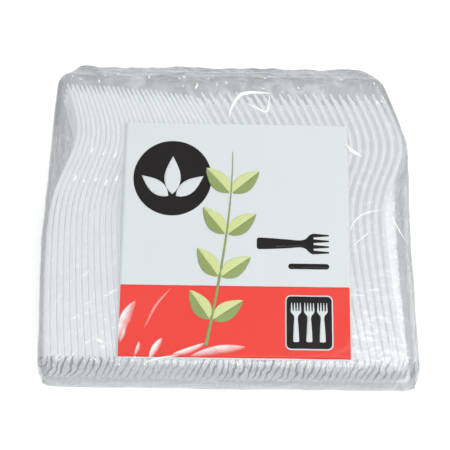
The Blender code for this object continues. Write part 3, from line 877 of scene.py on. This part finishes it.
def film_mesh(forks):
    """The bag as one fine sheet, closed at both ends, wrinkled where the real one is."""
    tree = search_tree(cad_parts["clear_bag"].data)
    low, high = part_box("clear_bag")
    first = low.y + END_INSET
    last = high.y - END_INSET
    count = round((last - first) / FILM_ROW_SPACING)
    rings = []
    middles = []
    for k in range(count + 1):
        ring, middle = film_ring(tree, between(first, last, k / count))
        rings.append(ring)
        middles.append(middle)
    rings = without_holes(rings)
    rings = cap_rings(rings[0], middles[0], -1)[::-1] + rings + cap_rings(rings[-1], middles[-1], 1)
    across = len(rings[0])
    bm = bmesh.new()
    rows = [[bm.verts.new(p) for p in ring] for ring in rings]
    for one, other in zip(rows, rows[1:]):
        for k in range(across):
            after = (k + 1) % across
            bm.faces.new((one[k], one[after], other[after], other[k]))
    bmesh.ops.remove_doubles(bm, verts=rows[0] + rows[-1], dist=WELD_REACH)
    bmesh.ops.recalc_face_normals(bm, faces=bm.faces[:])
    for _ in range(SMOOTHING_ROUNDS):
        smooth(bm)
    bm.normal_update()
    moved = [v.co + v.normal * wrinkle(v.co) for v in bm.verts]
    for v, place in zip(bm.verts, moved):
        v.co = place
    for _ in range(DRAPE_ROUNDS):
        drape(bm, forks)
        smooth(bm)
    drape(bm, forks)
    for v in bm.verts:
        v.co.z = max(v.co.z, TABLE_GAP)
    mesh = bpy.data.meshes.new("film")
    bm.to_mesh(mesh)
    bm.free()
    mesh.shade_smooth()
    return mesh


def add_vents(tree, finish):
    """Dark discs of painted shade in the mouths of the two small vents in the bag's left side."""
    out = Vector((-1.0, 0.0, 0.0))
    vertices = []
    faces = []
    for y in VENT_PLACES:
        top = skin_point(tree, Vector((0.0, y, CORE_HEIGHT)), Vector((0.0, 0.0, 1.0))).z
        start = len(vertices)
        for k in range(VENT_SIDES):
            turn = 2 * math.pi * k / VENT_SIDES
            aside = Vector((0.0, math.cos(turn), math.sin(turn))) * VENT_RADIUS
            foot = Vector((0.0, y, top / 2)) + aside
            vertices.append(skin_point(tree, foot, out) + out * VENT_STAND_OFF)
        faces.append(tuple(range(start, start + VENT_SIDES)))
    vents = link("painted_vent_shade", mesh_of("painted_vent_shade", vertices, faces), finish)
    body = vents.modifiers.new("rim", "SOLIDIFY")
    body.thickness = VENT_THICKNESS
    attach(vents, "root")


def add_film(finish, forks):
    """The clear bag. Returns the search tree that the print is laid on."""
    film = link("film", film_mesh(forks), finish)
    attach(film, "root")
    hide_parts("clear_bag")
    return search_tree(film.data)


# Painted highlights along the film's creases


def painted_glint():
    """A painted white highlight that fades out towards a crease's edges."""
    made, tree, output = new_material("painted_crease_highlight")
    fade = tree.nodes.new("ShaderNodeAttribute")
    fade.attribute_name = "painted_sheen"
    broken = mapped(tree, noise_in(tree, 260.0, 2.0), 0.25, 0.6, low=0.6)
    amount = times(tree, fade.outputs["Fac"], broken)
    # painted highlight: a matt white mixed over the clear film
    body = mixed_shader(tree, amount, see_through(tree), matt(tree, (0.97, 0.96, 0.94)))
    tree.links.new(body, output.inputs["Surface"])
    return made


def crease_path(corners):
    """Points every couple of millimetres along a smooth line through the corners."""
    points = [Vector(corners[0])]
    for k in range(len(corners) - 1):
        before = Vector(corners[max(k - 1, 0)])
        start = Vector(corners[k])
        end = Vector(corners[k + 1])
        after = Vector(corners[min(k + 2, len(corners) - 1)])
        steps = max(2, round((end - start).length / CREASE_STEP))
        for step in range(1, steps + 1):
            t = step / steps
            bend = (end - before) * t * (1 - t) ** 2 - (after - start) * t * t * (1 - t)
            points.append(start.lerp(end, t * t * (3 - 2 * t)) + bend / 2)
    return points


def flecks():
    """Short painted highlights strewn over the gathered far end and the near end's top edge, and on the
    forks' necks.
    """
    chance = random.Random(FLECK_SEED)
    found = []
    for number in range(FAR_FLECKS + NEAR_FLECKS):
        x = chance.uniform(-90.0, 86.0)
        if number < FAR_FLECKS:
            y = chance.triangular(60.0, 82.0, 70.0)
        else:
            y = chance.uniform(-91.5, -87.5)
        turn = chance.uniform(0.0, math.pi)
        reach = Vector((math.cos(turn), math.sin(turn))) * chance.uniform(0.6, 2.2)
        ends = (Vector((x, y)) - reach, Vector((x, y)) + reach)
        found.append((chance.uniform(0.7, 2.0), chance.uniform(0.8, 1.9), ends))
    for x, y in NECK_GLINTS:
        reach = Vector((0.9, chance.uniform(1.6, 2.8)))
        found.append((1.2, 1.8, (Vector((x, y)) - reach, Vector((x, y)) + reach)))
    return found


def within(value, size):
    """1 from 0 to the size, easing to 0 a little beyond either end."""
    start = smooth_step(-LIFT_EASING, 0.0, value)
    return start - smooth_step(0.0, LIFT_EASING, value - size)


def lift_over_print(place):
    """How far above the film a crease runs, so that it clears the layers of ink."""
    across = within(place.x - PANEL_LEFT, PANEL_WIDTH)
    along = within(place.y - PANEL_NEAR, PANEL_LENGTH)
    return between(0.15 * MM, 6 * LAYER_STEP, across * along)


def add_crease_highlights(tree, finish):
    """Low ridges in the film that carry painted highlights, each (highlight strength, width, corners),
    sizes in millimetres.
    """
    vertices = []
    faces = []
    painted_sheen = []
    for strength, width, corners in (*CREASE_HIGHLIGHTS, *flecks()):
        points = crease_path(corners)
        last = len(points) - 1
        for k, point in enumerate(points):
            direction = (points[min(k + 1, last)] - points[max(k - 1, 0)]).normalized()
            side = Vector((-direction.y, direction.x))
            taper = math.sin(math.pi * between(0.04, 0.96, k / last))
            for reach, share in CREASE_PROFILE:
                place = (point + side * reach * width * taper / 2) * MM
                hit = film_top(tree, place.x, place.y)
                hit.z += lift_over_print(place) + CREASE_HEIGHT * share
                vertices.append(hit)
                painted_sheen.append(strength * taper * share)
            if k:
                row = len(vertices) - len(CREASE_PROFILE)
                faces += [(row + i, row + i + 1, row + i - 4, row + i - 5) for i in range(4)]
    mesh = bpy.data.meshes.new("crease_highlights")
    mesh.from_pydata(vertices, [], faces)
    values = mesh.attributes.new("painted_sheen", "FLOAT", "POINT")
    values.data.foreach_set("value", painted_sheen)
    mesh.shade_smooth()
    crease_highlights = link("crease_highlights", mesh, finish)
    body = crease_highlights.modifiers.new("fold", "SOLIDIFY")
    body.thickness = CREASE_THICKNESS
    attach(crease_highlights, "root")


# The print


def rounded_rectangle(x, y, width, length, radius, steps=6):
    """The points of a rectangle with round corners, anticlockwise."""
    points = []
    corners = (
        (x + width - radius, y + radius, -math.pi / 2),
        (x + width - radius, y + length - radius, 0.0),
        (x + radius, y + length - radius, math.pi / 2),
        (x + radius, y + radius, math.pi),
    )
    for centre_x, centre_y, start in corners:
        for step in range(steps + 1):
            angle = start + math.pi / 2 * step / steps
            points.append((centre_x + radius * math.cos(angle), centre_y + radius * math.sin(angle)))
    return points


def disc_outline():
    """The dark disc in the panel's far left corner."""
    points = []
    for step in range(DISC_SIDES):
        angle = 2 * math.pi * step / DISC_SIDES
        x = DISC_FROM_LEFT + DISC_RADIUS * math.cos(angle)
        points.append((x, PANEL_LENGTH - DISC_FROM_FAR_END + DISC_RADIUS * math.sin(angle)))
    return points


def fork_plan():
    """The fork's plan, (along, across), as shares of its length and of its head's width."""
    body = [(station * MM, half_width(station * MM)) for station in BODY_STATIONS]
    root_width = (HEAD_WIDTH - (TINES - 1) * SLOT_WIDTH) / TINES
    comb = []
    for number in range(TINES):
        for along, span, width in (
            (TINE_ROOT_AT + 1.0 * MM, HEAD_WIDTH, root_width),
            (FORK_LENGTH, TIP_SPAN, TIP_WIDTH),
            (FORK_LENGTH, TIP_SPAN, -TIP_WIDTH),
            (TINE_ROOT_AT + 1.0 * MM, HEAD_WIDTH, -root_width),
        ):
            room = span - abs(width)
            middle = between(-room / 2, room / 2, number / (TINES - 1))
            comb.append((along, middle - width / 2))
    points = [(along, -half) for along, half in body] + comb + [(a, half) for a, half in body[::-1]]
    return [(along / FORK_LENGTH, across / HEAD_WIDTH) for along, across in points]


def mark_outline():
    """A fork lying across the panel's right side."""
    x = PANEL_WIDTH - MARK_FROM_RIGHT - MARK_LENGTH
    plan = fork_plan()
    return [(x + along * MARK_LENGTH, MARK_FROM_END + across * MARK_WIDTH) for along, across in plan]


def sprout_outlines():
    """Three leaves that fan out from a point low in the disc."""
    foot = Vector((DISC_FROM_LEFT, PANEL_LENGTH - DISC_FROM_FAR_END - SPROUT_LENGTH * 0.55))
    found = []
    for turn, size in ((-SPROUT_SPREAD, 0.86), (0.0, 1.0), (SPROUT_SPREAD, 0.86)):
        out = Vector((math.sin(turn), math.cos(turn)))
        across = Vector((out.y, -out.x))
        near = foot + out * SPROUT_LENGTH * 0.12
        edges = ([], [])
        for step in range(1, LEAF_STEPS):
            reach = step / LEAF_STEPS
            half = SPROUT_WIDTH * size / 2 * math.sin(math.pi * reach**0.8)
            along = near + out * SPROUT_LENGTH * size * reach
            edges[0].append(along + across * half)
            edges[1].append(along - across * half)
        found.append([near] + edges[0] + [near + out * SPROUT_LENGTH * size] + edges[1][::-1])
    return found


def badge_mark_outlines():
    """Three small forks standing side by side in the badge."""
    middle = PANEL_WIDTH - BADGE_FROM_RIGHT - BADGE_WIDTH / 2
    foot = BADGE_FROM_END + (BADGE_LENGTH - BADGE_MARK_LENGTH) / 2
    found = []
    for place in (-1, 0, 1):
        x = middle + place * BADGE_MARK_SPACING
        outline = []
        for along, across in fork_plan():
            outline.append((x - across * BADGE_MARK_WIDTH, foot + along * BADGE_MARK_LENGTH))
        found.append(outline)
    return found


def stem_point(share):
    """The sprig's stem, which curves to the right on its way up the panel."""
    x = SPRIG_FROM_LEFT + SPRIG_SWAY * math.sin(share * math.pi / 2)
    return Vector((x, SPRIG_FROM_END + SPRIG_LENGTH * share))


def leaf_halves(share, side):
    """The low half's points and the high half's points of one leaf, from stem to tip."""
    nearby = 0.001
    stem = (stem_point(share + nearby) - stem_point(share - nearby)).normalized()
    out = Matrix.Rotation(-side * LEAF_SPLAY, 2) @ stem
    across = Vector((out.y, -out.x)) * side
    root = stem_point(share) + Vector((stem.y, -stem.x)) * side * STEM_WIDTH / 2
    low_edge = []
    high_edge = []
    for step in range(LEAF_STEPS):
        reach = step / LEAF_STEPS
        half = between(STEM_WIDTH / 3, LEAF_WIDTH / 2, math.sin(math.pi * reach**0.8))
        low_edge.append(root + out * LEAF_LENGTH * reach + across * half)
        high_edge.append(root + out * LEAF_LENGTH * reach - across * half)
    tip = root + out * LEAF_LENGTH
    return low_edge, high_edge, root, tip


def stem_outline():
    """The stem as a thin tapering strip."""
    right = []
    left = []
    for step in range(STEM_STEPS + 1):
        share = step / STEM_STEPS
        half = Vector((STEM_WIDTH / 2 * (1.0 - 0.8 * share), 0.0))
        right.append(stem_point(share) + half)
        left.append(stem_point(share) - half)
    return right + left[::-1]


def sprig_outlines(high_half):
    """The outlines of every leaf's low half, or of its high half."""
    found = []
    for pair in range(LEAF_PAIRS):
        share = (pair + 0.6) / (LEAF_PAIRS + 0.6)
        for side in (1, -1):
            low_edge, high_edge, root, tip = leaf_halves(share, side)
            edge = high_edge if high_half else low_edge
            found.append([root] + edge + [tip])
    return found


def cut_into_cells(bm):
    """Cuts a flat patch along a grid, so that it can follow the film."""
    for axis in (0, 1):
        low = min(v.co[axis] for v in bm.verts)
        high = max(v.co[axis] for v in bm.verts)
        normal = (1, 0, 0) if axis == 0 else (0, 1, 0)
        for k in range(math.ceil(low / INK_CELL), math.ceil(high / INK_CELL)):
            place = [0.0, 0.0, 0.0]
            place[axis] = k * INK_CELL
            parts = bm.verts[:] + bm.edges[:] + bm.faces[:]
            bmesh.ops.bisect_plane(bm, geom=parts, dist=1e-7, plane_co=place, plane_no=normal)


def add_print(name, outlines, layer, tree, finish, node=None):
    """Fields of ink in the outlines' shapes, laid on the film."""
    bm = bmesh.new()
    for outline in outlines:
        points = [(PANEL_LEFT + x, PANEL_NEAR + y, 0.0) for x, y in outline]
        bm.faces.new([bm.verts.new(p) for p in points])
    bm.normal_update()
    bmesh.ops.triangulate(bm, faces=bm.faces[:])
    cut_into_cells(bm)
    for v in bm.verts:
        v.co.z = film_top(tree, v.co.x, v.co.y).z + (layer + 1) * LAYER_STEP
    bmesh.ops.recalc_face_normals(bm, faces=bm.faces[:])
    if sum(f.normal.z for f in bm.faces) < 0:
        bmesh.ops.reverse_faces(bm, faces=bm.faces[:])
    mesh = bpy.data.meshes.new(name)
    bm.to_mesh(mesh)
    bm.free()
    mesh.shade_smooth()
    patch = link(name, mesh, finish)
    body = patch.modifiers.new("ink", "SOLIDIFY")
    body.thickness = INK_THICKNESS
    body.offset = 1.0
    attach(patch, "root")
    if node:
        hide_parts(node)


def add_all_print(tree):
    """The white panel with its band, badge, disc, fork mark and sprig."""
    white = ink("white_ink", (0.585, 0.615, 0.62), (0.61, 0.64, 0.645))
    red = ink("red_ink", (0.69, 0.045, 0.032), (0.73, 0.060, 0.045))
    dark = ink("dark_ink", (0.004, 0.002, 0.003), (0.009, 0.006, 0.007))
    green = ink("green_ink", (0.20, 0.26, 0.09), (0.30, 0.36, 0.14))
    pale = ink("pale_green_ink", (0.50, 0.56, 0.22), (0.62, 0.67, 0.34))
    panel = rounded_rectangle(0, 0, PANEL_WIDTH, PANEL_LENGTH, 0.5 * MM)
    add_print("panel", [panel], 0, tree, white, "print_panel")
    band = rounded_rectangle(
        BAND_MARGIN, BAND_MARGIN, PANEL_WIDTH - 2 * BAND_MARGIN, BAND_LENGTH, 0.4 * MM
    )
    add_print("band", [band], 1, tree, red, "print_band")
    x = PANEL_WIDTH - BADGE_FROM_RIGHT - BADGE_WIDTH
    border = rounded_rectangle(
        x - BADGE_BORDER, BADGE_FROM_END - BADGE_BORDER, BADGE_WIDTH + 2 * BADGE_BORDER,
        BADGE_LENGTH + 2 * BADGE_BORDER, BADGE_CORNER + BADGE_BORDER,
    )
    add_print("badge_border", [border], 2, tree, white)
    badge = rounded_rectangle(x, BADGE_FROM_END, BADGE_WIDTH, BADGE_LENGTH, BADGE_CORNER)
    add_print("badge", [badge], 3, tree, dark, "print_badge")
    add_print("badge_forks", badge_mark_outlines(), 4, tree, white)
    add_print("disc", [disc_outline()], 1, tree, dark, "print_disc")
    add_print("sprout", sprout_outlines(), 2, tree, white)
    add_print("fork_mark", [mark_outline()], 1, tree, dark, "print_fork_mark")
    x = PANEL_WIDTH - MARK_FROM_RIGHT - BAR_WIDTH
    bar = rounded_rectangle(x, BAR_FROM_END, BAR_WIDTH, BAR_LENGTH, BAR_LENGTH / 2)
    add_print("bar", [bar], 1, tree, dark)
    lower = sprig_outlines(False)
    add_print("sprig", [stem_outline()] + lower, 2, tree, green, "print_sprig")
    add_print("sprig_light", sprig_outlines(True), 2, tree, pale)


# The stage


def aim(position, target):
    """The rotation that points an object's -Z axis from a position at a target."""
    return (target - position).to_track_quat("-Z", "Y").to_euler()


def add_lamp(name, position, size, power):
    """A square soft lamp pointing at the pack."""
    data = bpy.data.lights.new(name, "AREA")
    data.shape = "SQUARE"
    data.size = size
    data.energy = power
    lamp = bpy.data.objects.new(name, data)
    lamp.location = position
    lamp.rotation_euler = aim(Vector(position), Vector((0.0, 0.0, 0.02)))
    bpy.context.scene.collection.objects.link(lamp)


def seen_ray(tree):
    """1 for rays that see a surface straight, mirrored or through something clear."""
    path = tree.nodes.new("ShaderNodeLightPath").outputs
    return largest(tree, path["Is Camera Ray"], path["Is Glossy Ray"], path["Is Transmission Ray"])


def background(tree, colour, strength):
    """An even background of one colour."""
    node = tree.nodes.new("ShaderNodeBackground")
    node.inputs["Color"].default_value = (*colour, 1.0)
    node.inputs["Strength"].default_value = strength
    return node.outputs["Background"]


def add_world():
    """Even white light all round, and pure white where nothing is seen."""
    world = bpy.data.worlds.new("studio")
    bpy.context.scene.world = world
    world.use_nodes = True
    tree = world.node_tree
    tree.nodes.clear()
    output = tree.nodes.new("ShaderNodeOutputWorld")
    light = background(tree, (0.95, 0.975, 1.0), 0.8)
    seen = background(tree, (1.0, 1.0, 1.0), 1.0)
    surface = mixed_shader(tree, seen_ray(tree), light, seen)
    tree.links.new(surface, output.inputs["Surface"])


def add_floor():
    """A wide white table that the pack lies on."""
    made, tree, output = new_material("white_table")
    seen = tree.nodes.new("ShaderNodeEmission")
    glow = times(tree, seen_ray(tree), 0.15)
    tree.links.new(glow, seen.inputs["Strength"])
    both = tree.nodes.new("ShaderNodeAddShader")
    tree.links.new(matt(tree, (0.96, 0.96, 0.96)), both.inputs[0])
    tree.links.new(seen.outputs["Emission"], both.inputs[1])
    tree.links.new(both.outputs["Shader"], output.inputs["Surface"])
    corners = [(x * TABLE_REACH, y * TABLE_REACH, 0.0) for x, y in ((-1, -1), (1, -1), (1, 1), (-1, 1))]
    mesh = bpy.data.meshes.new("table")
    mesh.from_pydata(corners, [], [(0, 1, 2, 3)])
    mesh.materials.append(made)
    floor = bpy.data.objects.new("table", mesh)
    bpy.context.scene.collection.objects.link(floor)


def add_camera():
    """The photo's view: from the handles' side, well above."""
    forward = Vector((0.0, math.cos(CAMERA_ELEVATION), -math.sin(CAMERA_ELEVATION)))
    right = Vector((1.0, 0.0, 0.0))
    up = right.cross(forward)
    turned_right = right * math.cos(CAMERA_ROLL) + up * math.sin(CAMERA_ROLL)
    turned_up = up * math.cos(CAMERA_ROLL) - right * math.sin(CAMERA_ROLL)
    data = bpy.data.cameras.new("camera")
    data.lens = CAMERA_LENS
    data.sensor_width = 36.0
    camera = bpy.data.objects.new("camera", data)
    matrix = Matrix((turned_right, turned_up, -forward)).transposed().to_4x4()
    matrix.translation = CAMERA_TARGET - forward * CAMERA_DISTANCE
    camera.matrix_world = matrix
    bpy.context.scene.collection.objects.link(camera)
    bpy.context.scene.camera = camera


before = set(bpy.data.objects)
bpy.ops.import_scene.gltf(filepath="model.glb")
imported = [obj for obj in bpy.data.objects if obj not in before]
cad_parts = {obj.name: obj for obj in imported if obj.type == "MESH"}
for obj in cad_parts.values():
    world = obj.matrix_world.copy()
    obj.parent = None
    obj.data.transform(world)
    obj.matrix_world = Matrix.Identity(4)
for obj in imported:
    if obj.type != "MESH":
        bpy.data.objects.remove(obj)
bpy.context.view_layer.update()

fork_plastic = plastic("fork_plastic", (0.49, 0.505, 0.515), (0.53, 0.545, 0.555), 0.3, PAINTED_GLOW)
fork_tree = add_forks(fork_plastic)
film_tree = add_film(clear_film(), fork_tree)
add_all_print(film_tree)
add_crease_highlights(film_tree, painted_glint())
# painted shade colour for the vents' mouths
add_vents(film_tree, plastic("vent_shade", (0.05, 0.05, 0.055), (0.07, 0.07, 0.075), 0.6))

add_floor()
add_world()
add_lamp("key", (0.15, -0.35, 1.0), 0.5, 4.0)
add_lamp("fill", (0.8, -0.2, 0.6), 0.5, 1.6)
add_lamp("spark", (0.35, 0.55, 0.75), 0.12, 0.7)
add_camera()
bpy.context.scene.view_settings.view_transform = "Standard"
